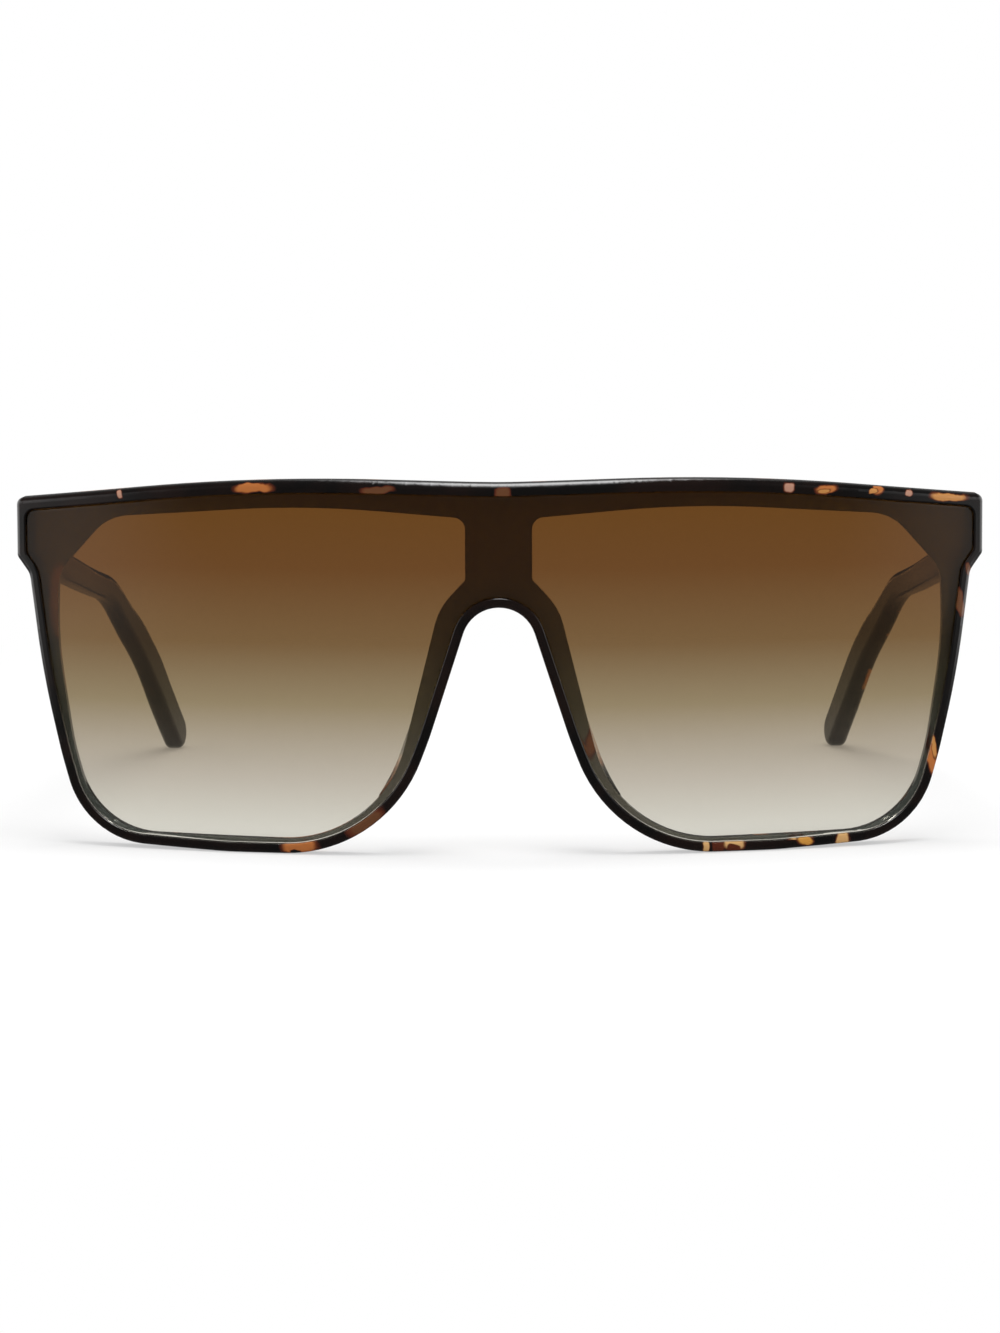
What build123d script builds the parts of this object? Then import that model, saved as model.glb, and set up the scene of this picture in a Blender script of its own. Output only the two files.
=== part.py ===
from build123d import *
from math import cos, radians, sin, sqrt, tan
import os

# Flat top shield sunglasses, standing open on the two rim bottoms and the two temple tips.
# Millimetres. +Z is up, the lens looks along -Y, and +X is the wearer's left side.
# The origin is on the surface they stand on, under the middle of the overall length and width.
# Left pieces are made once at +X and mirrored in the plane X = 0 for the wearer's right.

# Front: overall size and wrap
FRONT_WIDTH = 150.0
FRONT_HEIGHT = 57.5
WRAP_RADIUS = 145.0         # outer face of the lip, an upright cylinder
LEDGE_THICKNESS = 2.0       # wall behind the lens
LIP_PROUD = 0.4             # step from the lens face to the lip face
LIP_WIDTH = 1.5             # frame that shows round the lens
BROW_EXTRA = 0.45           # extra lip width along the brow
LIP_ROUND = 1.0             # rounding of the lip's outer front edge
LIP_INNER_ROUND = 0.22      # rounding of the lip's edge towards the lens
REAR_ROUND = 0.4            # rounding of the rear outer edge

# Lens: one shield, snapped in from the front
LENS_THICKNESS = 2.0
LENS_GAP = 0.06             # running gap round and behind the lens
FLANGE_THICKNESS = 0.8      # hidden flange at the back of the lens edge
FLANGE_REACH = 0.4          # how far the flange goes under the lip
LENS_ROUND = 0.35           # rounding of the lens's front edge
LENS_CORNER = 1.6           # least rounding of its outward corners, seen from the front

# Nose pads, moulded with the front
PAD_DEPTH = 6.5             # how far they stand back from the ledge
PAD_WIDTH = 2.3
PAD_LOW = 8.0               # lowest and highest point of a pad
PAD_HIGH = 31.0
PAD_SPLAY = 7.0             # degrees that a pad leans outwards as it goes back
PAD_ROUND = 0.7
PAD_INSET = 0.35            # pad's step back from the lip's nose edge

# Hinge frame: u runs back along the temple, w is the pin axis, both in the plane of the side view
TEMPLE_FALL = 10.5          # degrees that u falls below level
END_BEHIND = 0.86           # butt plane behind the ledge's outer rear edge, at the hinge height
HINGE_SHARE = 0.845         # height of the hinge centre, as a share of the front's height
END_SHARE = 0.073           # half the height of end piece and temple where they meet, likewise
END_COVER = 0.6             # end piece above and below the front leaf
END_WIDTH = 8.7             # width of the end piece's block behind the ledge
END_DEPTH = 8.0             # how far the block reaches forward into the ledge
END_ROUND = 0.9
BUTT_GAP = 0.12             # gap between end piece and temple when open

# Temple
TEMPLE_THICKNESS = 3.8      # at the hinge
BEND_THICKNESS = 3.25       # where the temple starts to curve in
TIP_THICKNESS = 3.5
WAIST_REACH = 32.0          # along u, where the temple has tapered down
WAIST_FALL = 2.7            # centre of the waist below u
WAIST_HALF = 2.4
BEND_REACH = 79.0           # along u, where the ear bend is
BEND_FALL = 1.3
BEND_HALF = 2.15
TAIL_REACH = 104.0          # along u, the middle of the tail, which goes on bending down
TAIL_FALL = 9.6
TAIL_HALF = 3.3
TIP_REACH = 126.5           # along u, centre of the rounded tip
TIP_HALF = 3.1
WAIST_RADIUS = 60.0
BEND_RADIUS = 34.0
TAIL_RADIUS = 60.0
PLAN_BEND_REACH = 75.0      # along u, where the temple starts to curve in
PLAN_BEND_IN = 3.2          # how far the outer face has come in there
PLAN_TIP_IN = 12.6          # how far it has come in at the tip
PLAN_RADIUS = 320.0
TEMPLE_ROUND = 1.2

# Hinge: three knuckles on a screw
KNUCKLE_RADIUS = 1.6
KNUCKLE_GAP = 0.06          # end gap between neighbouring knuckles
SCREW_RADIUS = 0.7
SCREW_FIT = 0.03            # radial running gap of the screw
SCREW_HEAD_RADIUS = 1.2
SCREW_HEAD_HEIGHT = 0.6
SLOT_WIDTH = 0.3
SLOT_DEPTH = 0.3
PIN_INSET = 1.2             # pin axis inside the temple's inner face
PIN_BACK = 1.2              # pin axis behind the butt plane
SWING_GAP = 0.3             # clearance round what turns
LEAF_THICKNESS = 1.0
LEAF_GAP = 0.05             # pocket clearance round a leaf
FRONT_LEAF_WIDTH = 3.5      # from the pin axis inwards
TEMPLE_LEAF_COVER = 1.7     # temple above and below its leaf
TEMPLE_LEAF_LENGTH = 8.6    # from the pin axis back

# Small screws that hold the leaves
FIX_RADIUS = 0.5
FIX_LENGTH = 2.9            # under the head
FIX_HEAD_RADIUS = 0.85
FIX_HEAD_HEIGHT = 0.45
FIX_FRONT_IN = 2.6          # front leaf: from the pin axis inwards
FIX_FRONT_EDGE = 1.5        # front leaf: from its top and bottom edge
FIX_TEMPLE_FIRST = 4.2      # temple leaf: from the pin axis back
FIX_TEMPLE_PITCH = 2.8

HALF_WIDTH = FRONT_WIDTH / 2

# Corners of the front's outline, wearer's left half, from the middle of the brow round to the nose:
# place across as a share of half the width, place up and rounding radius as shares of the height.
front_corner_shares = [
    (0.000, 0.984, 2.80),       # middle of the brow, a shallow dip
    (0.485, 1.000, 5.00),       # crown of the brow
    (1.000, 0.931, 0.0209),     # end piece, top
    (1.000, 0.774, 0.0209),     # end piece, bottom
    (0.973, 0.727, 0.0435),     # notch under the end piece
    (0.946, 0.454, 2.40),
    (0.908, 0.2435, 1.04),
    (0.857, 0.0174, 0.2295),    # outer bottom corner
    (0.560, 0.000, 1.20),
    (0.2335, 0.0017, 0.391),    # inner bottom corner
    (0.1415, 0.311, 1.04),      # foot of the nose side
    (0.000, 0.8755, 0.0984),    # where the two nose sides would meet
]

# Corners of one eye opening, as the same shares
eye_corner_shares = [
    (0.0673, 0.8913, 0.0313),   # top, beside the bridge column
    (0.387, 0.926, 2.60),       # top
    (0.799, 0.887, 0.139),      # top outer
    (0.906, 0.734, 0.104),      # below the end piece
    (0.911, 0.548, 1.04),
    (0.879, 0.270, 0.695),
    (0.828, 0.0400, 0.217),     # outer bottom corner
    (0.240, 0.0343, 0.330),     # inner bottom corner
    (0.1207, 0.6534, 0.174),    # nose shoulder
    (0.0673, 0.7278, 0.0122),   # bridge column, bottom
]

# Radii of the wrap's layers
LENS_FRONT = WRAP_RADIUS - LIP_PROUD
LENS_BACK = LENS_FRONT - LENS_THICKNESS
LEDGE_FRONT = LENS_BACK - LENS_GAP
LEDGE_BACK = LEDGE_FRONT - LEDGE_THICKNESS
LEDGE_MIDDLE = (LEDGE_FRONT + LEDGE_BACK) / 2

# Hinge frame of the wearer's left side
FALL = radians(TEMPLE_FALL)
HINGE_BACK = WRAP_RADIUS - sqrt(LEDGE_BACK ** 2 - HALF_WIDTH ** 2) + END_BEHIND
HINGE_HEIGHT = HINGE_SHARE * FRONT_HEIGHT
HINGE = Plane(
    origin=(0, HINGE_BACK, HINGE_HEIGHT),
    x_dir=(1, 0, 0),
    z_dir=(0, sin(FALL), cos(FALL)),
)

# Places in the hinge frame
END_HALF_HEIGHT = END_SHARE * FRONT_HEIGHT
LEAF_HALF = END_HALF_HEIGHT - END_COVER     # half the height of the front leaf
HINGE_HALF = LEAF_HALF - SCREW_HEAD_HEIGHT  # from the middle of the hinge to the end of a knuckle
MIDDLE_HALF = HINGE_HALF / 3                # half of the temple's knuckle, gaps included
TEMPLE_LEAF_HALF = END_HALF_HEIGHT - TEMPLE_LEAF_COVER
INNER_FACE = HALF_WIDTH - TEMPLE_THICKNESS  # temple's inner face at the butt plane
PIN_X = INNER_FACE - PIN_INSET
LEAF_BACK = PIN_BACK + TEMPLE_LEAF_LENGTH   # end of the temple leaf


def scaled(shares):
    """Corners of an outline and their radii from its shares."""
    places = [Vector(x_share * HALF_WIDTH, z_share * FRONT_HEIGHT) for x_share, z_share, radius_share in shares]
    return places, [radius_share * FRONT_HEIGHT for x_share, z_share, radius_share in shares]


def upright_face(places, radii):
    """Face in the XZ plane inside a closed polyline with rounded corners."""
    spots = [Vector(place.X, 0, place.Y) for place in places]
    return make_face(FilletPolyline(*spots, radius=radii, close=True))


def turn_of(way, next_way):
    """Positive where a path that goes one way and then another turns to the left."""
    return way.X * next_way.Y - way.Y * next_way.X


def inset_outline(places, radii, insets, least):
    """Corners and radii after each side of a clockwise outline moves inwards by its own distance.

    Outward corners keep at least the least radius.
    """
    ways = [(end - start).normalized() for start, end in zip(places, places[1:] + places[:1])]
    starts = [place + Vector(way.Y, -way.X) * inset for place, way, inset in zip(places, ways, insets)]
    moved = []
    new_radii = []
    for index, radius in enumerate(radii):
        before, way = ways[index - 1], ways[index]
        turn = turn_of(before, way)
        along = turn_of(starts[index] - starts[index - 1], way) / turn
        moved.append(starts[index - 1] + before * along)
        new_radii.append(max(radius - insets[index], least) if turn < 0 else radius + insets[index])
    return moved, new_radii


def front_outline():
    """Corners and radii of the whole front, both halves."""
    places, radii = scaled(front_corner_shares)
    other = [Vector(-place.X, place.Y) for place in reversed(places[1:-1])]
    return places + other, radii + radii[-2:0:-1]


def front_face():
    """Whole outline of the front."""
    return upright_face(*front_outline())


def through(face):
    """Outline run from well in front of the brow to well behind the wrap."""
    return extrude(face, amount=WRAP_RADIUS, dir=(0, 1, 0), both=True)


def wrap(outer, inner):
    """Half tube of the wrap, between two radii about its upright axis."""
    axis = Pos(0, WRAP_RADIUS, HALF_WIDTH)
    tube = axis * (Cylinder(outer, FRONT_WIDTH * 2) - Cylinder(inner, FRONT_WIDTH * 2))
    ahead = (Align.CENTER, Align.MAX, Align.CENTER)
    keep = Box(WRAP_RADIUS * 2, WRAP_RADIUS, FRONT_WIDTH * 2, align=ahead)
    return tube & (axis * keep)


def lens_face(grow):
    """Outline that the lens fills in the lip, grown by a distance."""
    places, radii = front_outline()
    side = LIP_WIDTH - grow
    brow = side + BROW_EXTRA
    insets = [brow, brow] + [side] * (len(places) - 4) + [brow, brow]
    return upright_face(*inset_outline(places, radii, insets, LENS_CORNER + grow))


def hinge_box(x_low, x_high, u_low, u_high, w_low, w_high):
    """Block between given places in the hinge frame."""
    size = Box(x_high - x_low, u_high - u_low, w_high - w_low, align=Align.MIN)
    return HINGE * Pos(x_low, u_low, w_low) * size


def pin_cylinder(radius, w_low, w_high):
    """Cylinder on the pin axis."""
    size = Cylinder(radius, w_high - w_low, align=(Align.CENTER, Align.CENTER, Align.MIN))
    return HINGE * Pos(PIN_X, PIN_BACK, w_low) * size


def one_solid(shape):
    """The largest solid of a shape."""
    return max(shape.solids(), key=lambda solid: solid.volume)


def place_in_hinge(point):
    """Coordinates of a point in the hinge frame: x, u and w."""
    return HINGE.to_local_coords(point)


def side_of(shape, sign):
    """A left piece as it is, or mirrored for the wearer's right."""
    return shape if sign > 0 else mirror(shape, about=Plane.YZ)


def wall_at(shape, wall_radius):
    """The largest wall that lies on the wrap at a radius."""
    curved = shape.faces().filter_by(GeomType.CYLINDER)
    walls = curved.filter_by(lambda face: abs(face.radius - wall_radius) < LENS_GAP / 2)
    return walls.sort_by(SortBy.AREA)[-1]


def round_wall(shape, wall_radius, rounding):
    """Round every edge of the largest wall that lies on the wrap at a radius."""
    return shape.fillet(rounding, wall_at(shape, wall_radius).edges())


def make_shell():
    """Wrapped front plate with its outer edges rounded."""
    shell = one_solid(through(front_face()) & wrap(WRAP_RADIUS, LEDGE_BACK))
    shell = round_wall(shell, WRAP_RADIUS, LIP_ROUND)
    return round_wall(shell, LEDGE_BACK, REAR_ROUND)


def make_end_block():
    """Block behind the ledge that carries the hinge, with a pocket for the front leaf."""
    half = END_HALF_HEIGHT
    block = hinge_box(HALF_WIDTH - END_WIDTH, HALF_WIDTH, -END_DEPTH, -BUTT_GAP, -half, half)
    block = block.fillet(END_ROUND, block.edges().filter_by(Axis(HINGE.origin, HINGE.y_dir)))
    block = block & (Pos(0, WRAP_RADIUS, HALF_WIDTH) * Cylinder(LEDGE_MIDDLE, FRONT_WIDTH * 2))
    pocket_half = LEAF_HALF + LEAF_GAP
    pocket_floor = -LEAF_THICKNESS - LEAF_GAP
    pocket_side = INNER_FACE + LEAF_GAP
    block = block - hinge_box(0, pocket_side, pocket_floor, HINGE_BACK, -pocket_half, pocket_half)
    block = block - pin_cylinder(KNUCKLE_RADIUS + SWING_GAP, -FRONT_HEIGHT, FRONT_HEIGHT)
    for screw in front_fix_places():
        block = block - fix_hole(screw)
    return one_solid(block)


def make_pads():
    """Both nose pads: bands along the nose edge, run back with a splay and cut to an arc."""
    start = WRAP_RADIUS - LEDGE_BACK
    middle = (PAD_LOW + PAD_HIGH) / 2
    half_chord = (PAD_HIGH - PAD_LOW) / 2
    arc_radius = (half_chord ** 2 + PAD_DEPTH ** 2) / (2 * PAD_DEPTH)
    band = offset(front_face(), -PAD_INSET) - offset(front_face(), -PAD_INSET - PAD_WIDTH)
    window = Plane.XZ * Pos(HALF_WIDTH / 4, middle) * Rectangle(HALF_WIDTH / 2, PAD_HIGH - PAD_LOW)
    band = Pos(0, start, 0) * (band & window)
    lean = tan(radians(PAD_SPLAY))
    pad = one_solid(extrude(band, amount=PAD_DEPTH * 2, dir=(lean, 1, 0)))
    roll = Rot(0, 90, 0) * Cylinder(arc_radius, FRONT_WIDTH)
    pad = one_solid(pad & (Pos(0, start + PAD_DEPTH - arc_radius, middle) * roll))
    ends = pad.faces().filter_by(lambda face: face.center().Y > start + PAD_DEPTH / 4)
    rear = ends.sort_by(lambda face: face.center().Y)[-1]
    pad = pad.fillet(PAD_ROUND, rear.edges())
    return [pad, mirror(pad, about=Plane.YZ)]


def make_front():
    """Front: lip, ledge, bridge column, nose pads and end pieces in one moulding."""
    front = make_shell()
    front -= through(lens_face(0)) & wrap(WRAP_RADIUS + LIP_WIDTH, LEDGE_FRONT)
    groove_top = LENS_BACK + FLANGE_THICKNESS + LENS_GAP
    front -= through(lens_face(FLANGE_REACH + LENS_GAP)) & wrap(groove_top, LEDGE_FRONT)
    front = one_solid(front)
    front = front.fillet(LIP_INNER_ROUND, wall_at(front, WRAP_RADIUS).inner_wires()[0].edges())
    eye = upright_face(*scaled(eye_corner_shares))
    for sign in (1, -1):
        front -= side_of(through(eye), sign)
        front += side_of(make_end_block(), sign)
    for pad in make_pads():
        front += pad
    return one_solid(front)


def make_lens():
    """Shield lens with a hidden flange round its back edge."""
    pane = one_solid(through(lens_face(-LENS_GAP)) & wrap(LENS_FRONT, LENS_BACK))
    pane = round_wall(pane, LENS_FRONT, LENS_ROUND)
    flange = through(lens_face(FLANGE_REACH)) & wrap(LENS_BACK + FLANGE_THICKNESS, LENS_BACK)
    return one_solid(pane + flange)


def temple_side_face(floor):
    """Side outline of a temple in the hinge frame; the round tip stands on the floor."""
    tip_fall = (HINGE_HEIGHT - floor - TIP_HALF - TIP_REACH * sin(FALL)) / cos(FALL)
    places = [
        (Vector(0, 0), END_HALF_HEIGHT, 0),
        (Vector(WAIST_REACH, -WAIST_FALL), WAIST_HALF, WAIST_RADIUS),
        (Vector(BEND_REACH, -BEND_FALL), BEND_HALF, BEND_RADIUS),
        (Vector(TAIL_REACH, -TAIL_FALL), TAIL_HALF, TAIL_RADIUS),
        (Vector(TIP_REACH, -tip_fall), TIP_HALF, 0),
    ]
    ways = [(after[0] - before[0]).normalized() for before, after in zip(places, places[1:])]
    ways = [Vector(1, 0)] + [(one + two).normalized() for one, two in zip(ways, ways[1:])] + ways[-1:]
    ups = [Vector(-way.Y, way.X) for way in ways]
    upper = [spot + up * half for (spot, half, radius), up in zip(places, ups)]
    lower = [spot - up * half for (spot, half, radius), up in zip(places, ups)]
    radii = [radius for spot, half, radius in places]
    outline = FilletPolyline(*upper, *reversed(lower), radius=radii + radii[::-1], close=True)
    return make_face(outline) + Pos(TIP_REACH, -tip_fall) * Circle(TIP_HALF)


def temple_plan_face():
    """Plan strip of a temple in the hinge frame, seen along the pin axis."""
    end = TIP_REACH + TIP_HALF
    outer = [(HALF_WIDTH, 0), (HALF_WIDTH - PLAN_BEND_IN, PLAN_BEND_REACH), (HALF_WIDTH - PLAN_TIP_IN, end)]
    walls = [TEMPLE_THICKNESS, BEND_THICKNESS, TIP_THICKNESS]
    inner = [(x - wall, u) for (x, u), wall in reversed(list(zip(outer, walls)))]
    radii = [0, PLAN_RADIUS, 0, 0, PLAN_RADIUS, 0]
    return make_face(FilletPolyline(*[Vector(*spot) for spot in outer + inner], radius=radii, close=True))


def make_temple(floor):
    """Temple with rounded edges, a scallop round the knuckles and a pocket for its leaf."""
    side_plane = Plane(origin=HINGE.origin, x_dir=HINGE.y_dir, z_dir=HINGE.x_dir)
    side = extrude(side_plane * temple_side_face(floor), amount=FRONT_WIDTH)
    plan = extrude(HINGE * temple_plan_face(), amount=FRONT_HEIGHT, both=True)
    temple = one_solid(side & plan)
    free_edges = temple.edges().filter_by(lambda edge: place_in_hinge(edge.center()).Y > TEMPLE_ROUND)
    temple = temple.fillet(TEMPLE_ROUND, free_edges)
    temple -= pin_cylinder(KNUCKLE_RADIUS + SWING_GAP, -FRONT_HEIGHT, FRONT_HEIGHT)
    half = TEMPLE_LEAF_HALF + LEAF_GAP
    pocket_floor = INNER_FACE + LEAF_THICKNESS + LEAF_GAP
    temple -= hinge_box(0, pocket_floor, -LEAF_THICKNESS, LEAF_BACK + LEAF_GAP, -half, half)
    for screw in temple_fix_places():
        temple -= fix_hole(screw)
    return one_solid(temple)


def make_front_leaf():
    """Metal leaf on the end piece, with the two outer knuckles."""
    inner = PIN_X - FRONT_LEAF_WIDTH
    leaf = hinge_box(inner, INNER_FACE - LEAF_GAP, -LEAF_THICKNESS, 0, -LEAF_HALF, LEAF_HALF)
    leaf -= pin_cylinder(KNUCKLE_RADIUS + SWING_GAP, -MIDDLE_HALF, MIDDLE_HALF)
    for low, high in ((MIDDLE_HALF, HINGE_HALF), (-HINGE_HALF, -MIDDLE_HALF)):
        leaf += pin_cylinder(KNUCKLE_RADIUS, low, high)
        leaf += hinge_box(PIN_X - KNUCKLE_RADIUS + LEAF_GAP * 4, PIN_X, -LEAF_THICKNESS, PIN_BACK, low, high)
    leaf -= pin_cylinder(SCREW_RADIUS + SCREW_FIT, -LEAF_HALF, LEAF_HALF)
    leaf -= pin_cylinder(SCREW_HEAD_RADIUS + LEAF_GAP, HINGE_HALF, LEAF_HALF + LEAF_GAP)
    for screw in front_fix_places():
        leaf -= fix_hole(screw)
    return one_solid(leaf)


def make_temple_leaf():
    """Metal leaf on the temple, with the middle knuckle."""
    low, high = -MIDDLE_HALF + KNUCKLE_GAP, MIDDLE_HALF - KNUCKLE_GAP
    plate_start = PIN_BACK + KNUCKLE_RADIUS + SWING_GAP
    half = TEMPLE_LEAF_HALF
    back = INNER_FACE + LEAF_THICKNESS
    leaf = hinge_box(INNER_FACE, back, plate_start, LEAF_BACK, -half, half)
    leaf += hinge_box(PIN_X, back, PIN_BACK, plate_start + LEAF_GAP, low, high)
    leaf += pin_cylinder(KNUCKLE_RADIUS, low, high)
    leaf -= pin_cylinder(SCREW_RADIUS + SCREW_FIT, -MIDDLE_HALF, MIDDLE_HALF)
    for screw in temple_fix_places():
        leaf -= fix_hole(screw)
    return one_solid(leaf)


def slotted(head_radius, head_height, shank_radius, shank_length):
    """Slotted screw along Z, with the underside of its head at Z = 0."""
    screw = Cylinder(shank_radius, shank_length, align=(Align.CENTER, Align.CENTER, Align.MAX))
    screw += Cylinder(head_radius, head_height, align=(Align.CENTER, Align.CENTER, Align.MIN))
    groove = Box(head_radius * 2, SLOT_WIDTH, SLOT_DEPTH, align=(Align.CENTER, Align.CENTER, Align.MAX))
    return one_solid(screw - Pos(0, 0, head_height) * groove)


def make_hinge_screw():
    """Pin of the hinge, screwed down from above."""
    screw = slotted(SCREW_HEAD_RADIUS, SCREW_HEAD_HEIGHT, SCREW_RADIUS, HINGE_HALF * 2)
    return HINGE * Pos(PIN_X, PIN_BACK, HINGE_HALF) * screw


def front_fix_places():
    """Places of the front leaf's two screws, pointing out of their heads."""
    turn = Rot(-90, 0, 0)
    half = LEAF_HALF - FIX_FRONT_EDGE
    return [HINGE * Pos(PIN_X - FIX_FRONT_IN, 0, w) * turn for w in (half, -half)]


def temple_fix_places():
    """Places of the temple leaf's two screws, pointing out of their heads."""
    turn = Rot(0, -90, 0)
    first = PIN_BACK + FIX_TEMPLE_FIRST
    return [HINGE * Pos(INNER_FACE, u, 0) * turn for u in (first, first + FIX_TEMPLE_PITCH)]


def fix_hole(place):
    """Hole for the shank of a small screw."""
    below = (Align.CENTER, Align.CENTER, Align.MAX)
    return place * Cylinder(FIX_RADIUS + SCREW_FIT, FIX_LENGTH + SCREW_FIT, align=below)


def fix_screw(place):
    """Small screw that holds a leaf."""
    return place * slotted(FIX_HEAD_RADIUS, FIX_HEAD_HEIGHT, FIX_RADIUS, FIX_LENGTH)


def make_pieces():
    """Every piece of the glasses by name, the brow's foremost point at Y = 0."""
    front = make_front()
    floor = front.bounding_box().min.Z
    left = {
        "temple": make_temple(floor),
        "front_hinge_leaf": make_front_leaf(),
        "temple_hinge_leaf": make_temple_leaf(),
        "hinge_screw": make_hinge_screw(),
    }
    for name, places in (("front_leaf", front_fix_places()), ("temple_leaf", temple_fix_places())):
        for number, place in enumerate(places, start=1):
            left[f"{name}_screw_{number}"] = fix_screw(place)
    pieces = {"front_frame": front, "shield_lens": make_lens()}
    for name, piece in left.items():
        pieces["left_" + name] = piece
        pieces["right_" + name] = side_of(piece, -1)
    return pieces


pieces = make_pieces()
boxes = [piece.bounding_box() for piece in pieces.values()]
low_y, high_y = min(box.min.Y for box in boxes), max(box.max.Y for box in boxes)
low_z = min(box.min.Z for box in boxes)
home = Pos(0, -(low_y + high_y) / 2, -low_z)

os.makedirs("parts", exist_ok=True)
for name, piece in pieces.items():
    export_step(home * piece, f"parts/{name}.step")

pin = home * HINGE.location * Pos(PIN_X, PIN_BACK, 0)
print("overall depth", round(high_y - low_y, 3), "moved by", home.position)
print("left pin point", pin.position, "pin axis", HINGE.z_dir)
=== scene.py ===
"""Looks, light and view for a pair of flat top shield sunglasses.

Everything is in metres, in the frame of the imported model: +Z up, the lens looks along -Y and +X is
the wearer's left. The solids of the model keep their shape and get their finish here: a polished
tortoise moulding, a graduated lens, and the metal of the two hinges.
"""

import math

import bpy
from bpy.props import FloatProperty, FloatVectorProperty, PointerProperty
from mathutils import Matrix, Vector


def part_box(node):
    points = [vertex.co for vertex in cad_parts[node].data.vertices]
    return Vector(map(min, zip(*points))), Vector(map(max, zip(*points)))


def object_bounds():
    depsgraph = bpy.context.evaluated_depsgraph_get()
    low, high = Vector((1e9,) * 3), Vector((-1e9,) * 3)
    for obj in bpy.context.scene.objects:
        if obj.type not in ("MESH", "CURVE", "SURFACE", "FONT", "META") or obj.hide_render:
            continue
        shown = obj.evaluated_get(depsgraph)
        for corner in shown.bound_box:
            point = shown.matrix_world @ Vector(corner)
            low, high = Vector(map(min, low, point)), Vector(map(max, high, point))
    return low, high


bl_info = {
    "name": "Flat Top Sunglasses",
    "version": (1, 0, 0),
    "blender": (4, 5, 0),
    "location": "View3D > Sidebar > Sunglasses",
    "description": "Finishes a pair of flat top shield sunglasses and sets them on a stage",
    "category": "Object",
}

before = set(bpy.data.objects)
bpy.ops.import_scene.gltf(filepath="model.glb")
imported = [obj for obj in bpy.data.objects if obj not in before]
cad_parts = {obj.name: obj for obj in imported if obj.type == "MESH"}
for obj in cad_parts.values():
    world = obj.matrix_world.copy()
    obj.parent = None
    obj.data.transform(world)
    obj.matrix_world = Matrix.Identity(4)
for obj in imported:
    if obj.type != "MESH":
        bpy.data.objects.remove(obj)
MODEL_BOX = [list(corner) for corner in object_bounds()]
LENS_LOW, LENS_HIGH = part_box("shield_lens")

MM = 0.001
SIDES = ("left", "right")
# For ease: all of it at the first limit, none at the second.
FADE_OUT = (1.0, 0.0)


def colour(name, default, description):
    """A colour property with a linear default."""
    return FloatVectorProperty(
        name=name, description=description, default=default, size=3, min=0, max=1, subtype="COLOR"
    )


def length(name, default, description):
    """A length property in metres."""
    return FloatProperty(
        name=name,
        description=description,
        default=default,
        min=0,
        subtype="DISTANCE",
        unit="LENGTH",
    )


def share(name, default, description):
    """A property from nought to one."""
    return FloatProperty(
        name=name, description=description, default=default, min=0, max=1, subtype="FACTOR"
    )


def level(name, default, description):
    """A brightness."""
    return FloatProperty(name=name, description=description, default=default, min=0)


class SunglassesTortoise(bpy.types.PropertyGroup):
    """Colours and sizes of the tortoise moulding, and the painted light on its ledge."""

    dark: colour("Dark", (0.0026, 0.0020, 0.0018), "Ground of the tortoise, almost black")
    brown: colour("Brown", (0.014, 0.0055, 0.0036), "Clouds in the ground")
    rim: colour("Rim", (0.100, 0.020, 0.007), "Edge of every patch")
    russet: colour("Russet", (0.130, 0.050, 0.020), "Dull patches")
    copper: colour("Copper", (0.30, 0.085, 0.017), "Deep patches")
    orange: colour("Orange", (0.46, 0.150, 0.038), "Main patches")
    amber: colour("Amber", (0.54, 0.240, 0.066), "Light patches")
    honey: colour("Honey", (0.66, 0.310, 0.055), "Yellow patches")
    straw: colour("Straw", (0.68, 0.400, 0.160), "Pale yellow patches")
    pale: colour("Pale", (0.46, 0.240, 0.165), "Small pale flecks")
    # Painted light: the ledge's face behind the lens is coloured much lighter than the moulding, for
    # the light seen on it there.
    ledge_light_middle: colour("Ledge Middle", (0.150, 0.145, 0.112), "The ledge's face at the bridge")
    ledge_light_end: colour("Ledge End", (0.230, 0.265, 0.260), "The ledge's face at the end pieces")
    blush: colour("Blush", (0.480, 0.330, 0.270), "Faint patch on the ledge")
    cloud_size: length("Cloud Size", 0.011, "Distance between the clouds of the ground")
    patch_size: length("Patch Size", 0.0085, "Distance between the free patches")
    warp: length("Warp", 0.0006, "How far the outlines of the placed patches wander")
    coverage: share("Coverage", 0.20, "How much the free patches take, on temples and back")
    roughness: share("Roughness", 0.13, "Roughness of the polish")


class SunglassesLens(bpy.types.PropertyGroup):
    """Tint of the lens from top to bottom."""

    tint_1: colour("Top Tint", (0.142, 0.0575, 0.0105), "At the brow")
    tint_2: colour("Upper Tint", (0.148, 0.0630, 0.0175), "A fifth of the way down")
    tint_3: colour("Middle Tint", (0.192, 0.1130, 0.0470), "A little above the middle")
    tint_4: colour("Lower Middle Tint", (0.290, 0.2270, 0.1330), "A little below the middle")
    tint_5: colour("Lower Tint", (0.502, 0.4570, 0.3820), "Four fifths of the way down")
    tint_6: colour("Bottom Tint", (0.660, 0.6420, 0.5720), "At the bottom rim")
    roughness: share("Roughness", 0.015, "Roughness of the lens")
    refraction: FloatProperty(
        name="Refraction", description="Index of refraction", default=1.5, min=1, max=2
    )


class SunglassesHinges(bpy.types.PropertyGroup):
    """Metal of the hinges."""

    leaf: colour("Leaf", (0.56, 0.545, 0.53), "Leaves and knuckles")
    screw: colour("Screw", (0.66, 0.65, 0.63), "Screws")
    brush_size: length("Brush Size", 0.0004, "Distance between the brush lines")
    roughness: share("Roughness", 0.30, "Roughness of the leaves; the screws are smoother")


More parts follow.
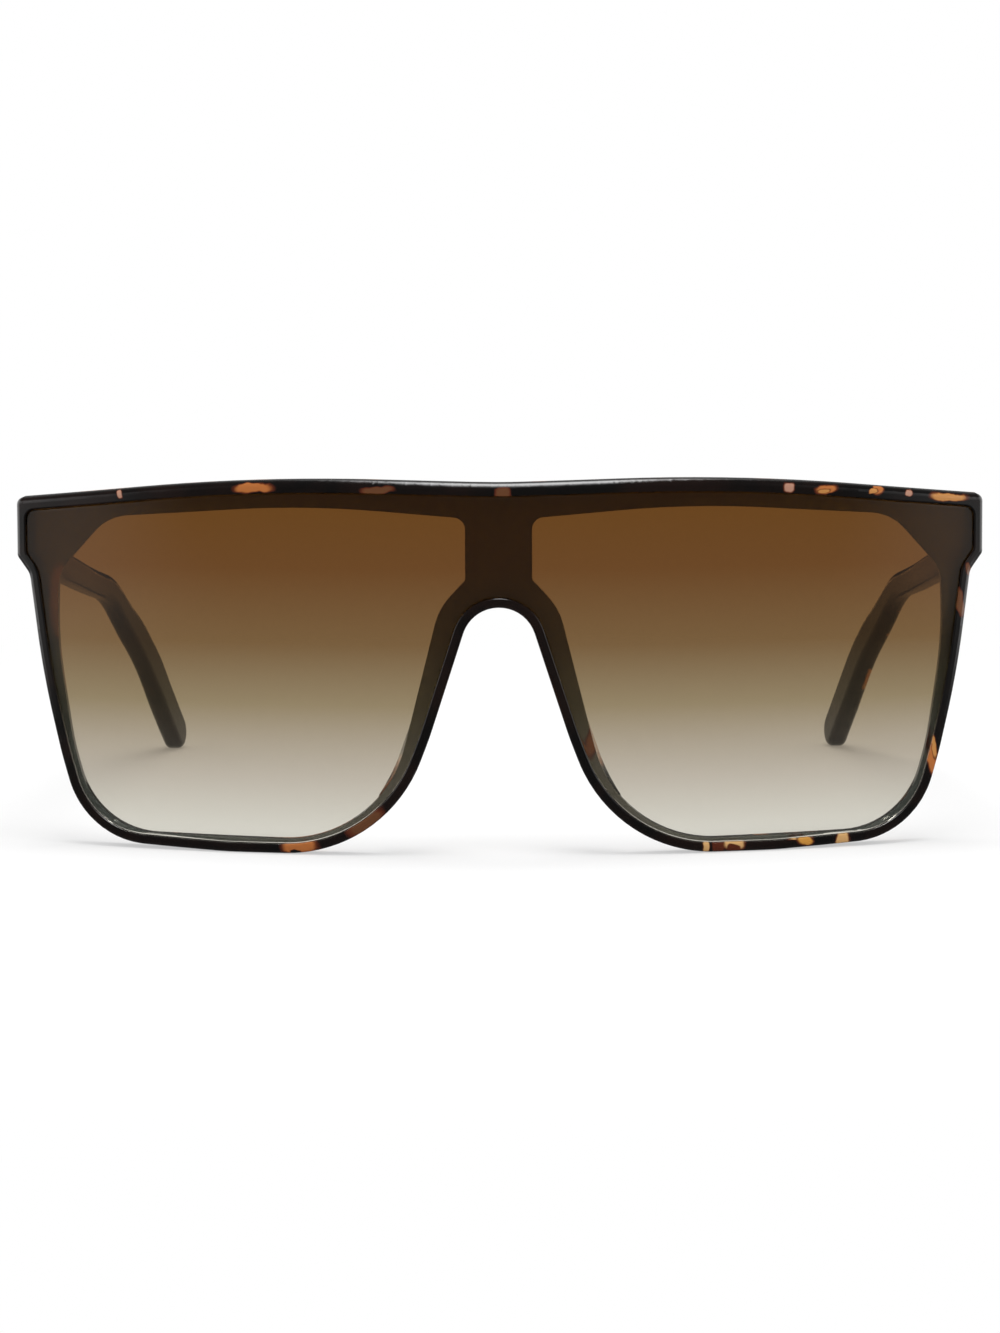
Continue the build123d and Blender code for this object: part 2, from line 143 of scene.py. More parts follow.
class SunglassesStage(bpy.types.PropertyGroup):
    """Floor, light and camera."""

    floor: colour("Floor", (0.88, 0.88, 0.88), "Pale floor")
    floor_reach: length("Floor Reach", 6.0, "Half the side of the floor")
    floor_glow: share("Floor Glow", 0.50, "Share of plain white in the floor close to the object")
    room_light: level("Room Light", 0.62, "Even light from all round")
    front_gloss: level("Front Gloss", 0.12, "What gloss mirrors ahead and behind")
    floor_gloss: level("Floor Gloss", 0.10, "What gloss mirrors in the floor under and ahead")
    back_gloss: level("Back Gloss", 0.55, "What gloss mirrors in the floor behind")
    side_gloss: level("Side Gloss", 2.0, "What gloss mirrors on both sides")
    strip_gloss: level("Strip Gloss", 13.0, "What gloss mirrors in the strip above")
    top_light: level("Top Light", 9.0, "Soft box above, in watts")
    eye_distance: length("Eye Distance", 0.66, "From the front to the camera")


# Nodes.


def node(tree, kind, **settings):
    """A new node with these properties."""
    made = tree.nodes.new(kind)
    for key, value in settings.items():
        setattr(made, key, value)
    return made


def feed(tree, source, target):
    """Joins an output to an input, or sets the input to a plain value."""
    if isinstance(source, bpy.types.NodeSocket):
        tree.links.new(source, target)
    else:
        target.default_value = source


def feed_all(tree, made, values):
    """Feeds a node's inputs, by name or number, and gives the node back."""
    for key, value in values.items():
        feed(tree, value, made.inputs[key])
    return made


def maths(tree, operation, *values):
    """A math node's result."""
    made = node(tree, "ShaderNodeMath", operation=operation)
    return feed_all(tree, made, dict(enumerate(values))).outputs[0]


def vector_maths(tree, operation, *values):
    """A vector math node's vector, or its number for a length or a dot product."""
    made = node(tree, "ShaderNodeVectorMath", operation=operation)
    result = "Value" if operation in ("LENGTH", "DOT_PRODUCT") else "Vector"
    return feed_all(tree, made, dict(enumerate(values))).outputs[result]


def scale_vector(tree, vector, factor):
    """A vector times a number."""
    made = node(tree, "ShaderNodeVectorMath", operation="SCALE")
    return feed_all(tree, made, {0: vector, "Scale": factor}).outputs["Vector"]


def in_spacings(tree, place, spacing):
    """A place counted in spacings instead of metres."""
    return scale_vector(tree, place, maths(tree, "DIVIDE", 1.0, spacing))


def parts_of(tree, vector):
    """The X, Y and Z of a vector."""
    return feed_all(tree, node(tree, "ShaderNodeSeparateXYZ"), {0: vector}).outputs


def ease(tree, value, limits, ends=(0.0, 1.0)):
    """The first end below both limits, the second above them, and a smooth way between."""
    made = node(tree, "ShaderNodeMapRange", interpolation_type="SMOOTHSTEP")
    names = ("Value", "From Min", "From Max", "To Min", "To Max")
    return feed_all(tree, made, dict(zip(names, (value, *limits, *ends)))).outputs["Result"]


def blend_colours(tree, mask, below, above):
    """One colour laid over another by a mask."""
    made = node(tree, "ShaderNodeMix", data_type="RGBA", blend_type="MIX")
    return feed_all(tree, made, {0: mask, 6: below, 7: above}).outputs[2]


def blend_levels(tree, mask, below, above):
    """One number laid over another by a mask."""
    made = node(tree, "ShaderNodeMix", data_type="FLOAT")
    return feed_all(tree, made, {0: mask, 2: below, 3: above}).outputs[0]


def mix_shaders(tree, mask, below, above):
    """One shader laid over another by a mask."""
    made = node(tree, "ShaderNodeMixShader")
    return feed_all(tree, made, {0: mask, 1: below, 2: above}).outputs[0]


def noise(tree, place, scale, detail=2.0, roughness=0.5, distortion=0.0):
    """A noise texture's outputs at a place: its value, then its colour."""
    names = ("Vector", "Scale", "Detail", "Roughness", "Distortion")
    values = (place, scale, detail, roughness, distortion)
    return feed_all(tree, node(tree, "ShaderNodeTexNoise"), dict(zip(names, values))).outputs


def rgba(values):
    """A colour with full alpha."""
    return (*values, 1.0)


def in_metres(values):
    """Millimetres as metres."""
    return tuple(value * MM for value in values)


# Effects that materials share.

# The mean of a noise. Its values seldom leave the middle half of their range, so what swings
# about the mean is made greater by the gain.
NOISE_MEAN = 0.5
NOISE_GAIN = 2.0
# How far from the middle of a patch its rim and its core fade, in reaches.
RIM_FADE = (0.95, 1.30)
CORE_FADE = (0.75, 1.08)
# The noise values between which the tone of the free patches goes from dark to light.
TONE_LIMITS = (0.32, 0.68)


def fill_patch(group, given, result):
    """One nearly square patch of colour about a centre, with a rim, laid over another colour."""
    offset = vector_maths(group, "SUBTRACT", given["Place"], given["Centre"])
    turn = node(group, "ShaderNodeVectorRotate", rotation_type="Y_AXIS")
    feed_all(group, turn, {"Vector": offset, "Angle": given["Lean"]})
    reaches = vector_maths(group, "DIVIDE", turn.outputs[0], given["Reach"])
    along = vector_maths(group, "ABSOLUTE", reaches)
    # The cube root of the sum of the cubes rounds the corners of the square.
    cubed = vector_maths(group, "MULTIPLY", vector_maths(group, "MULTIPLY", along, along), along)
    cubes = vector_maths(group, "DOT_PRODUCT", cubed, (1.0, 1.0, 1.0))
    away = maths(group, "POWER", cubes, 1 / 3)
    rim = ease(group, away, RIM_FADE, FADE_OUT)
    core = ease(group, away, CORE_FADE, FADE_OUT)
    edged = blend_colours(group, rim, given["Below"], given["Rim"])
    feed(group, blend_colours(group, core, edged, given["Core"]), result["Colour"])


def fill_mottle(group, given, result):
    """Free soft-edged patches that cover a share of the surface, and a tone that varies in them."""
    place = in_spacings(group, given["Place"], given["Spacing"])
    blots = noise(group, place, scale=1.0, detail=2.5, roughness=0.55, distortion=0.6)[0]
    tones = noise(group, place, scale=2.3, detail=3.0, roughness=0.6, distortion=0.3)[0]
    low = maths(group, "SUBTRACT", given["Threshold"], given["Softness"])
    high = maths(group, "ADD", given["Threshold"], given["Softness"])
    feed(group, ease(group, blots, (low, high)), result["Mask"])
    feed(group, ease(group, tones, TONE_LIMITS), result["Tone"])


def fill_polish(group, given, result):
    """Fine polishing marks: a roughness near a given one, and a height for a bump."""
    place = in_spacings(group, given["Place"], given["Mark Spacing"])
    broad = noise(group, place, scale=0.35, detail=3.0, roughness=0.6)[0]
    fine = noise(group, place, scale=2.0)[0]
    swing = maths(group, "SUBTRACT", broad, NOISE_MEAN)
    spread = maths(group, "MULTIPLY", swing, given["Spread"])
    rough = maths(group, "MULTIPLY_ADD", spread, NOISE_GAIN, given["Roughness"])
    feed(group, rough, result["Roughness"])
    feed(group, fine, result["Height"])


# Each group: what fills it, its inputs with their kinds and defaults, and its outputs.
GROUPS = {
    "Tortoise Patch": (
        fill_patch,
        {
            "Place": ("NodeSocketVector", None),
            "Centre": ("NodeSocketVector", None),
            "Reach": ("NodeSocketVector", (0.003, 0.003, 0.003)),
            "Lean": ("NodeSocketFloat", 0.0),
            "Below": ("NodeSocketColor", None),
            "Rim": ("NodeSocketColor", None),
            "Core": ("NodeSocketColor", None),
        },
        {"Colour": "NodeSocketColor"},
    ),
    "Tortoise Mottle": (
        fill_mottle,
        {
            "Place": ("NodeSocketVector", None),
            "Spacing": ("NodeSocketFloat", 0.01),
            "Threshold": ("NodeSocketFloat", 0.55),
            "Softness": ("NodeSocketFloat", 0.03),
        },
        {"Mask": "NodeSocketFloat", "Tone": "NodeSocketFloat"},
    ),
    "Hand Polish": (
        fill_polish,
        {
            "Place": ("NodeSocketVector", None),
            "Roughness": ("NodeSocketFloat", 0.1),
            "Spread": ("NodeSocketFloat", 0.04),
            "Mark Spacing": ("NodeSocketFloat", 0.002),
        },
        {"Roughness": "NodeSocketFloat", "Height": "NodeSocketFloat"},
    ),
}


def shared_group(name):
    """A shader group by name, built the first time it is asked for."""
    if name in bpy.data.node_groups:
        return bpy.data.node_groups[name]
    fill, inputs, outputs = GROUPS[name]
    group = bpy.data.node_groups.new(name, "ShaderNodeTree")
    for title, (kind, default) in inputs.items():
        socket = group.interface.new_socket(title, in_out="INPUT", socket_type=kind)
        if default is not None:
            socket.default_value = default
    for title, kind in outputs.items():
        group.interface.new_socket(title, in_out="OUTPUT", socket_type=kind)
    given = group.nodes.new("NodeGroupInput").outputs
    result = group.nodes.new("NodeGroupOutput").inputs
    fill(group, given, result)
    return group


def use_group(tree, name, values):
    """A shared group placed in a tree with these inputs, and its outputs."""
    made = tree.nodes.new("ShaderNodeGroup")
    made.node_tree = shared_group(name)
    return feed_all(tree, made, values).outputs


# Materials.

# The polish: how far its roughness varies, the distance between its marks, and their bump.
POLISH_SPREAD = 0.05
MARK_SPACING = 3 * MM
MARK_STRENGTH = 0.03
MARK_DEPTH = 0.02 * MM


def empty_tree(owner):
    """The node tree of a material or a world, with nothing in it."""
    owner.use_nodes = True
    owner.node_tree.nodes.clear()
    return owner.node_tree


def show(tree, surface, kind="ShaderNodeOutputMaterial"):
    """Makes a shader the one that shows."""
    feed(tree, surface, node(tree, kind).inputs["Surface"])


def new_material(name):
    """A material with nothing but a Principled shader in its tree."""
    material = bpy.data.materials.new(name)
    tree = empty_tree(material)
    return material, tree, node(tree, "ShaderNodeBsdfPrincipled")


def place_on(tree):
    """The place on the object, in metres in the model's frame."""
    return node(tree, "ShaderNodeTexCoord").outputs["Object"]


def add_bump(tree, shader, height, strength, depth):
    """A bump from a height, on a shader's normal."""
    bump = node(tree, "ShaderNodeBump")
    feed_all(tree, bump, {"Strength": strength, "Distance": depth, "Height": height})
    feed(tree, bump.outputs[0], shader.inputs["Normal"])


def add_polish(tree, shader, place, roughness):
    """Polish marks on a shader's roughness and normal."""
    given = {
        "Place": place,
        "Roughness": roughness,
        "Spread": POLISH_SPREAD,
        "Mark Spacing": MARK_SPACING,
    }
    marks = use_group(tree, "Hand Polish", given)
    feed(tree, marks["Roughness"], shader.inputs["Roughness"])
    add_bump(tree, shader, marks["Height"], MARK_STRENGTH, MARK_DEPTH)


def put_on(material, *names):
    """Gives nodes of the model a material."""
    for name in names:
        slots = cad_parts[name].data.materials
        if slots:
            for index in range(len(slots)):
                slots[index] = material
        else:
            slots.append(material)


# The tortoise moulding.

# The wrap of the front is an upright cylinder: its radius at the lip, where its axis lies along
# Y, and the radius of the ledge's face, on which the lens lies.
WRAP_RADIUS = 0.145
WRAP_AXIS_Y = MODEL_BOX[0][1] + WRAP_RADIUS
LEDGE_RADIUS = 0.14254
# Free patches lie on what is behind the ledge: the radii between which they go.
BEHIND_FADE = (LEDGE_RADIUS - 1.2 * MM, LEDGE_RADIUS - 0.6 * MM)
# Painted light lies on the ledge's face, behind the lens: a colour lighter than the moulding that
# stands in for the light seen there. The distances from the face between which it goes.
LEDGE_LIGHT_FADE = (0.06 * MM, 0.12 * MM)
# The distances from the middle between which the painted light turns from one colour to the other,
# lighter towards the end pieces.
LEDGE_LIGHT_TURN = (20 * MM, 66 * MM)
# The clouds: the noise value at their edge, how soft the edge is, and how strong they are.
CLOUD_THRESHOLD = 0.52
CLOUD_SOFTNESS = 0.12
CLOUD_STRENGTH = 0.55
# The free patches: the noise value at their edge with no coverage, how much full coverage takes
# off it, and how soft the edge is.
FREE_THRESHOLD = 0.64
FREE_RANGE = 0.32
FREE_SOFTNESS = 0.022
# How fine the wandering of the outlines is.
WANDER_SCALE = 420.0
# How far a temple's face turns outwards, as a part of its normal, for the patches to come.
OUTER_LIMITS = (0.0, 0.5)
# The patches that show from the front, listed one by one: centre and reach in millimetres, lean in
# degrees, and the colour. The last one lies on the ledge, behind the lens.
PATCHES = (
    ((-58.3, -62.9, 54.5), (0.35, 1.2, 0.7), 10, "pale"),
    ((-37.2, -70.3, 55.8), (2.9, 2.2, 0.62), 0, "orange"),
    ((-18.3, -73.9, 55.6), (2.3, 2.0, 0.55), 3, "russet"),
    ((0.7, -75.2, 55.1), (1.1, 1.5, 0.8), 0, "russet"),
    ((44.2, -68.2, 55.5), (0.8, 1.5, 0.75), -3, "pale"),
    ((49.9, -66.3, 55.1), (1.5, 2.0, 0.60), 8, "orange"),
    ((49.5, -66.5, 54.9), (0.9, 2.0, 0.30), 8, "amber"),
    ((58.1, -63.1, 54.9), (0.75, 2.0, 0.80), 14, "orange"),
    ((57.4, -63.4, 54.6), (0.70, 2.0, 0.35), 8, "amber"),
    ((63.1, -60.8, 54.2), (0.55, 1.4, 0.45), 0, "pale"),
    ((69.4, -57.4, 53.3), (3.0, 3.0, 0.55), -5, "amber"),
    ((-30.5, -71.9, 1.2), (2.6, 2.2, 1.2), 0, "orange"),
    ((-31.1, -71.8, 0.5), (0.70, 2.2, 0.30), 0, "dark"),
    ((-20.4, -73.8, 5.0), (2.9, 2.2, 1.1), 35, "russet"),
    ((31.3, -71.8, 1.1), (0.5, 2.0, 1.2), 0, "straw"),
    ((33.2, -71.4, 1.1), (0.8, 2.0, 1.2), 0, "rim"),
    ((35.7, -70.7, 1.2), (1.7, 2.2, 1.0), 0, "straw"),
    ((35.6, -70.7, 0.5), (0.95, 2.4, 0.55), 0, "rim"),
    ((45.9, -67.6, 1.9), (1.9, 2.2, 0.45), 0, "straw"),
    ((46.7, -67.3, 1.3), (1.2, 2.2, 0.70), -25, "honey"),
    ((52.7, -65.2, 1.2), (0.95, 2.2, 1.4), 0, "straw"),
    ((66.6, -58.9, 14.5), (0.85, 2.4, 5.2), 14, "orange"),
    ((66.9, -58.8, 15.5), (0.35, 2.4, 2.6), 14, "amber"),
    ((71.3, -56.5, 36.9), (0.5, 1.6, 2.2), 10, "russet"),
    ((72.7, -55.5, 42.0), (0.4, 1.4, 1.0), 20, "russet"),
    ((14.7, -72.0, 19.1), (1.0, 1.0, 4.6), -18, "copper"),
)
# A faint reddish patch on the ledge, behind the lens: centre, reach and lean.
BLUSH = ((-68.4, -57.2, 37.5), (1.6, 2.5, 5.5), 0)


def tortoise_ground(tree, place, look):
    """The dark ground with brown clouds in it."""
    given = {
        "Place": place,
        "Spacing": look.cloud_size,
        "Threshold": CLOUD_THRESHOLD,
        "Softness": CLOUD_SOFTNESS,
    }
    clouds = use_group(tree, "Tortoise Mottle", given)
    mask = maths(tree, "MULTIPLY", clouds["Mask"], CLOUD_STRENGTH)
    return blend_colours(tree, mask, rgba(look.dark), rgba(look.brown))


def add_free_patches(tree, place, look, where):
    """The ground with patches that are not placed by hand, where a mask lets them be."""
    given = {
        "Place": place,
        "Spacing": look.patch_size,
        "Threshold": FREE_THRESHOLD - FREE_RANGE * look.coverage,
        "Softness": FREE_SOFTNESS,
    }
    free = use_group(tree, "Tortoise Mottle", given)
    tone = blend_colours(tree, free["Tone"], rgba(look.orange), rgba(look.amber))
    mask = maths(tree, "MULTIPLY", free["Mask"], where)
    return blend_colours(tree, mask, tortoise_ground(tree, place, look), tone)


def add_patch(tree, place, below, centre, reach, lean, rim, core):
    """A colour with one patch laid over it: centre and reach in millimetres, lean in degrees."""
    given = {
        "Place": place,
        "Centre": in_metres(centre),
        "Reach": in_metres(reach),
        "Lean": math.radians(lean),
        "Below": below,
        "Rim": rgba(rim),
        "Core": rgba(core),
    }
    return use_group(tree, "Tortoise Patch", given)["Colour"]


def wander(tree, place, look):
    """The place, moved about a little so that outlines are uneven."""
    swing = vector_maths(tree, "SUBTRACT", noise(tree, place, WANDER_SCALE)[1], (NOISE_MEAN,) * 3)
    return vector_maths(tree, "ADD", place, scale_vector(tree, swing, look.warp * NOISE_GAIN))


def wrap_radius(tree, place):
    """Distance of a place from the upright axis of the wrap."""
    from_axis = vector_maths(tree, "SUBTRACT", place, (0.0, WRAP_AXIS_Y, 0.0))
    flat = vector_maths(tree, "MULTIPLY", from_axis, (1.0, 1.0, 0.0))
    return vector_maths(tree, "LENGTH", flat)


def painted_ledge_light(tree, place, look):
    """Painted light on the ledge's face, lighter from the bridge to the end pieces, with its faint
    patch.
    """
    outwards = ease(tree, maths(tree, "ABSOLUTE", parts_of(tree, place)["X"]), LEDGE_LIGHT_TURN)
    lit_ledge_paint = blend_colours(tree, outwards, rgba(look.ledge_light_middle), rgba(look.ledge_light_end))
    return add_patch(tree, place, lit_ledge_paint, *BLUSH, look.blush, look.blush)


def front_material(look):
    """Tortoise of the front: placed patches on the lip, painted light on the ledge, free patches
    behind it.
    """
    material, tree, shader = new_material("front_tortoise")
    place = place_on(tree)
    radius = wrap_radius(tree, place)
    behind = ease(tree, radius, BEHIND_FADE, FADE_OUT)
    paint = add_free_patches(tree, place, look, behind)
    from_ledge = maths(tree, "ABSOLUTE", maths(tree, "SUBTRACT", radius, LEDGE_RADIUS))
    ledge_light_mask = ease(tree, from_ledge, LEDGE_LIGHT_FADE, FADE_OUT)
    # Painted light laid over the ledge's face.
    paint = blend_colours(tree, ledge_light_mask, paint, painted_ledge_light(tree, place, look))
    moved = wander(tree, place, look)
    for *shape, title in PATCHES:
        paint = add_patch(tree, moved, paint, *shape, look.rim, getattr(look, title))
    feed(tree, paint, shader.inputs["Base Color"])
    add_polish(tree, shader, place, look.roughness)
    show(tree, shader.outputs[0])
    return material


def temple_material(look):
    """Tortoise of the temples: free patches that fade towards the inner face."""
    material, tree, shader = new_material("temple_tortoise")
    place = place_on(tree)
    normal = node(tree, "ShaderNodeTexCoord").outputs["Normal"]
    side = maths(tree, "SIGN", parts_of(tree, place)["X"])
    facing = maths(tree, "MULTIPLY", parts_of(tree, normal)["X"], side)
    outer = ease(tree, facing, OUTER_LIMITS)
    feed(tree, add_free_patches(tree, place, look, outer), shader.inputs["Base Color"])
    add_polish(tree, shader, place, look.roughness)
    show(tree, shader.outputs[0])
    return material


class SUNGLASSES_OT_front(bpy.types.Operator):
    """Give the front moulding its tortoise"""

    bl_idname = "sunglasses.front"
    bl_label = "Finish Front"

    def execute(self, context):
        put_on(front_material(context.scene.sunglasses_tortoise), "front_frame")
        return {"FINISHED"}


class SUNGLASSES_OT_temples(bpy.types.Operator):
    """Give both temples their tortoise"""

    bl_idname = "sunglasses.temples"
    bl_label = "Finish Temples"

    def execute(self, context):
        material = temple_material(context.scene.sunglasses_tortoise)
        put_on(material, *(f"{side}_temple" for side in SIDES))
        return {"FINISHED"}


# The lens.

# Where each tint of the lens lies, as a share of its height from the top.
TINT_PLACES = {
    "tint_1": 0.04,
    "tint_2": 0.22,
    "tint_3": 0.43,
    "tint_4": 0.60,
    "tint_5": 0.81,
    "tint_6": 0.96,
}


def lens_material(look):
    """Glossy see-through lens, tinted from dark brown down to nearly clear."""
    material, tree, shader = new_material("graduated_lens")
    height = parts_of(tree, place_on(tree))["Z"]
    down = node(tree, "ShaderNodeMapRange")
    feed_all(tree, down, {"Value": height, "From Min": LENS_HIGH.z, "From Max": LENS_LOW.z})
    ramp = node(tree, "ShaderNodeValToRGB")
    elements = ramp.color_ramp.elements
    while len(elements) < len(TINT_PLACES):
        elements.new(0.5)
    for element, (title, position) in zip(elements, TINT_PLACES.items()):
        element.position = position
        element.color = rgba(getattr(look, title))
    feed(tree, down.outputs["Result"], ramp.inputs["Fac"])
    feed(tree, ramp.outputs["Color"], shader.inputs["Base Color"])
    shader.inputs["Roughness"].default_value = look.roughness
    shader.inputs["IOR"].default_value = look.refraction
    shader.inputs["Transmission Weight"].default_value = 1.0
    # Soft light passes on to the ledge and the temples, and the lamp's light takes the tint.
    path = node(tree, "ShaderNodeLightPath").outputs
    tinted = node(tree, "ShaderNodeBsdfTransparent")
    feed(tree, ramp.outputs["Color"], tinted.inputs["Color"])
    clear = node(tree, "ShaderNodeBsdfTransparent")
    shaded = mix_shaders(tree, path["Is Shadow Ray"], shader.outputs[0], tinted.outputs[0])
    show(tree, mix_shaders(tree, path["Is Diffuse Ray"], shaded, clear.outputs[0]))
    return material


class SUNGLASSES_OT_lens(bpy.types.Operator):
    """Give the lens its graduated tint"""

    bl_idname = "sunglasses.lens"
    bl_label = "Finish Lens"

    def execute(self, context):
        put_on(lens_material(context.scene.sunglasses_lens), "shield_lens")
        return {"FINISHED"}


# The hinges.

# The brush lines: the noise values between which their tone and their roughness go, how dark the
# darkest are beside the tint, how far their roughness leaves the mean, and their bump.
LINE_TONES = (0.25, 0.75)
LINE_LIMITS = (0.2, 0.8)
LINE_DARKNESS = 0.80
LINE_SMOOTHER = 0.08
LINE_ROUGHER = 0.1
LINE_STRENGTH = 0.15
LINE_DEPTH = 0.006 * MM
# How close the brush lines are along X, Y and Z, and how much smoother a screw is than a leaf.
LEAF_LINES = (0.15, 0.15, 1.0)
SCREW_LINES = (1.0, 0.3, 0.3)
SCREW_SMOOTHER = 0.08


def metal_material(name, tint, roughness, spacing, stretch):
    """Brushed metal: fine lines along one way, in roughness, tone and height."""
    material, tree, shader = new_material(name)
    place = vector_maths(tree, "MULTIPLY", place_on(tree), stretch)
    lines = noise(tree, place, scale=1.0 / spacing, detail=3.0, roughness=0.6)[0]
    darker = tuple(value * LINE_DARKNESS for value in tint)
    tone = blend_colours(tree, ease(tree, lines, LINE_TONES), rgba(darker), rgba(tint))
    ends = (roughness - LINE_SMOOTHER, roughness + LINE_ROUGHER)
    rough = ease(tree, lines, LINE_LIMITS, ends)
    feed_all(tree, shader, {"Base Color": tone, "Metallic": 1.0, "Roughness": rough})
    add_bump(tree, shader, lines, LINE_STRENGTH, LINE_DEPTH)
    show(tree, shader.outputs[0])
    return material


class SUNGLASSES_OT_hinges(bpy.types.Operator):
    """Give the hinge leaves and screws their metal"""

    bl_idname = "sunglasses.hinges"
    bl_label = "Finish Hinges"

    def execute(self, context):
        look = context.scene.sunglasses_hinges
        rough, spacing = look.roughness, look.brush_size
        leaf = metal_material("hinge_leaf_metal", look.leaf, rough, spacing, LEAF_LINES)
        smooth = rough - SCREW_SMOOTHER
        screw = metal_material("screw_metal", look.screw, smooth, spacing, SCREW_LINES)
        for side in SIDES:
            put_on(screw, f"{side}_hinge_screw")
            for carrier in ("front", "temple"):
                put_on(leaf, f"{side}_{carrier}_hinge_leaf")
                put_on(screw, *(f"{side}_{carrier}_leaf_screw_{number}" for number in (1, 2)))
        return {"FINISHED"}


# The stage.

# The floor lies this far under the object, and turns white between these distances.
FLOOR_GAP = 0.02 * MM
WHITE_LIMITS = (0.10, 0.30)
# Where gloss mirrors a bright floor, in metres from the middle of the object. Beside it and in
# the far corners: the X that distances aside are taken from, how much of them counts as distance
# back, and the limits aside and back. Behind it: the limits back.
BESIDE = (0.0, 0.35, (0.15, 0.40), (-0.08, 0.03))
FAR_CORNERS = (0.06, 0.8, (0.25, 0.50), (-0.20, 0.20))
CORNER_GLOSS = 0.35
BEHIND_LIMITS = (-0.03, 0.08)
# Where gloss mirrors bright sides in the room, as parts of a direction: aside, up and back.
SIDE_LIMITS = (0.25, 0.50)
SIDE_TOP = (0.35, 0.70)
SIDE_BACK = (-0.75, 0.15)
# The strip above: the X of its middle, the limits of its width, and the power of Z that it
# grows with.
STRIP_MIDDLE = 0.03
STRIP_LIMITS = (0.05, 0.22)
STRIP_POWER = 7.0
# The soft box: where it hangs, the point that it faces, its width and its height.
BOX_PLACE = (0.03, -0.10, 1.1)
BOX_AIM = (0.0, -0.02, 0.03)
BOX_WIDTH = 0.5
BOX_HEIGHT = 0.9
# The camera, as fitted to the photo: its sensor and lens in millimetres, the point that it looks
# at, how far it stands towards the wearer's left of that, and in degrees how far it looks down
# and leans. Then the nearest and furthest that it sees.
SENSOR_WIDTH = 36.0
FOCAL_LENGTH = 118.1
CAMERA_AIM = (0.00015, MODEL_BOX[0][1], 0.02898)
CAMERA_ASIDE = 0.0047
CAMERA_FALL = 5.48
CAMERA_LEAN = -0.25
CLIP_START = 0.01
CLIP_END = 50.0


def seen_rays(tree):
    """Masks of the rays that show the background: straight or through the lens, and mirrored."""
    path = node(tree, "ShaderNodeLightPath").outputs
    through = path["Is Transmission Ray"]
    seen = maths(tree, "MAXIMUM", path["Is Camera Ray"], through)
    mirrored = maths(tree, "GREATER_THAN", path["Is Glossy Ray"], through)
    return seen, mirrored


def off_middle(tree, across, middle):
    """Distance of an X from a middle."""
    return maths(tree, "ABSOLUTE", maths(tree, "SUBTRACT", across, middle))


def outer_gloss(tree, parts, middle, slope, aside_limits, back_limits, most):
    """Brightness of the floor that grows to both sides and towards the back."""
    aside = off_middle(tree, parts["X"], middle)
    back = maths(tree, "MULTIPLY_ADD", aside, slope, parts["Y"])
    outwards = ease(tree, aside, aside_limits, (0.0, most))
    return maths(tree, "MULTIPLY", outwards, ease(tree, back, back_limits))


def floor_material(look):
    """Pale floor that fades to white, keeps the soft shadow, and mirrors dark near by."""
    material = bpy.data.materials.new("pale_floor")
    tree = empty_tree(material)
    place = place_on(tree)
    parts = parts_of(tree, place)
    seen, mirrored = seen_rays(tree)
    matt = node(tree, "ShaderNodeBsdfDiffuse")
    feed(tree, rgba(look.floor), matt.inputs["Color"])
    white = node(tree, "ShaderNodeEmission")
    away = vector_maths(tree, "LENGTH", place)
    glow = maths(tree, "MULTIPLY", seen, ease(tree, away, WHITE_LIMITS, (look.floor_glow, 1.0)))
    plain = mix_shaders(tree, glow, matt.outputs[0], white.outputs[0])
    corners = outer_gloss(tree, parts, *FAR_CORNERS, CORNER_GLOSS)
    beside = outer_gloss(tree, parts, *BESIDE, look.side_gloss)
    behind = ease(tree, parts["Y"], BEHIND_LIMITS, (0.0, look.back_gloss))
    bright = maths(tree, "MAXIMUM", maths(tree, "MAXIMUM", beside, behind), corners)
    gloss = node(tree, "ShaderNodeEmission")
    feed(tree, maths(tree, "ADD", bright, look.floor_gloss), gloss.inputs["Strength"])
    show(tree, mix_shaders(tree, mirrored, plain, gloss.outputs[0]))
    return material


def make_floor(look):
    """Large square floor just under the object."""
    reach = look.floor_reach
    corners = [(-reach, -reach, 0), (reach, -reach, 0), (reach, reach, 0), (-reach, reach, 0)]
    mesh = bpy.data.meshes.new("floor")
    mesh.from_pydata(corners, [], [(0, 1, 2, 3)])
    mesh.materials.append(floor_material(look))
    floor = bpy.data.objects.new("floor", mesh)
    floor.location.z = MODEL_BOX[0][2] - FLOOR_GAP
    bpy.context.scene.collection.objects.link(floor)


def room_gloss(tree, look):
    """What gloss mirrors in the room: bright sides and a strip above."""
    way = parts_of(tree, node(tree, "ShaderNodeTexCoord").outputs["Generated"])
    aside = ease(tree, maths(tree, "ABSOLUTE", way["X"]), SIDE_LIMITS)
    low = ease(tree, way["Z"], SIDE_TOP, FADE_OUT)
    sides = maths(tree, "MULTIPLY", maths(tree, "MULTIPLY", aside, low), look.side_gloss)
    sides = maths(tree, "MULTIPLY", sides, ease(tree, way["Y"], SIDE_BACK))
    strip_ends = (look.strip_gloss, 0.0)
    strip = ease(tree, off_middle(tree, way["X"], STRIP_MIDDLE), STRIP_LIMITS, strip_ends)
    upwards = maths(tree, "MAXIMUM", way["Z"], 0.0)
    strip = maths(tree, "MULTIPLY", strip, maths(tree, "POWER", upwards, STRIP_POWER))
    return maths(tree, "ADD", maths(tree, "ADD", sides, strip), look.front_gloss)


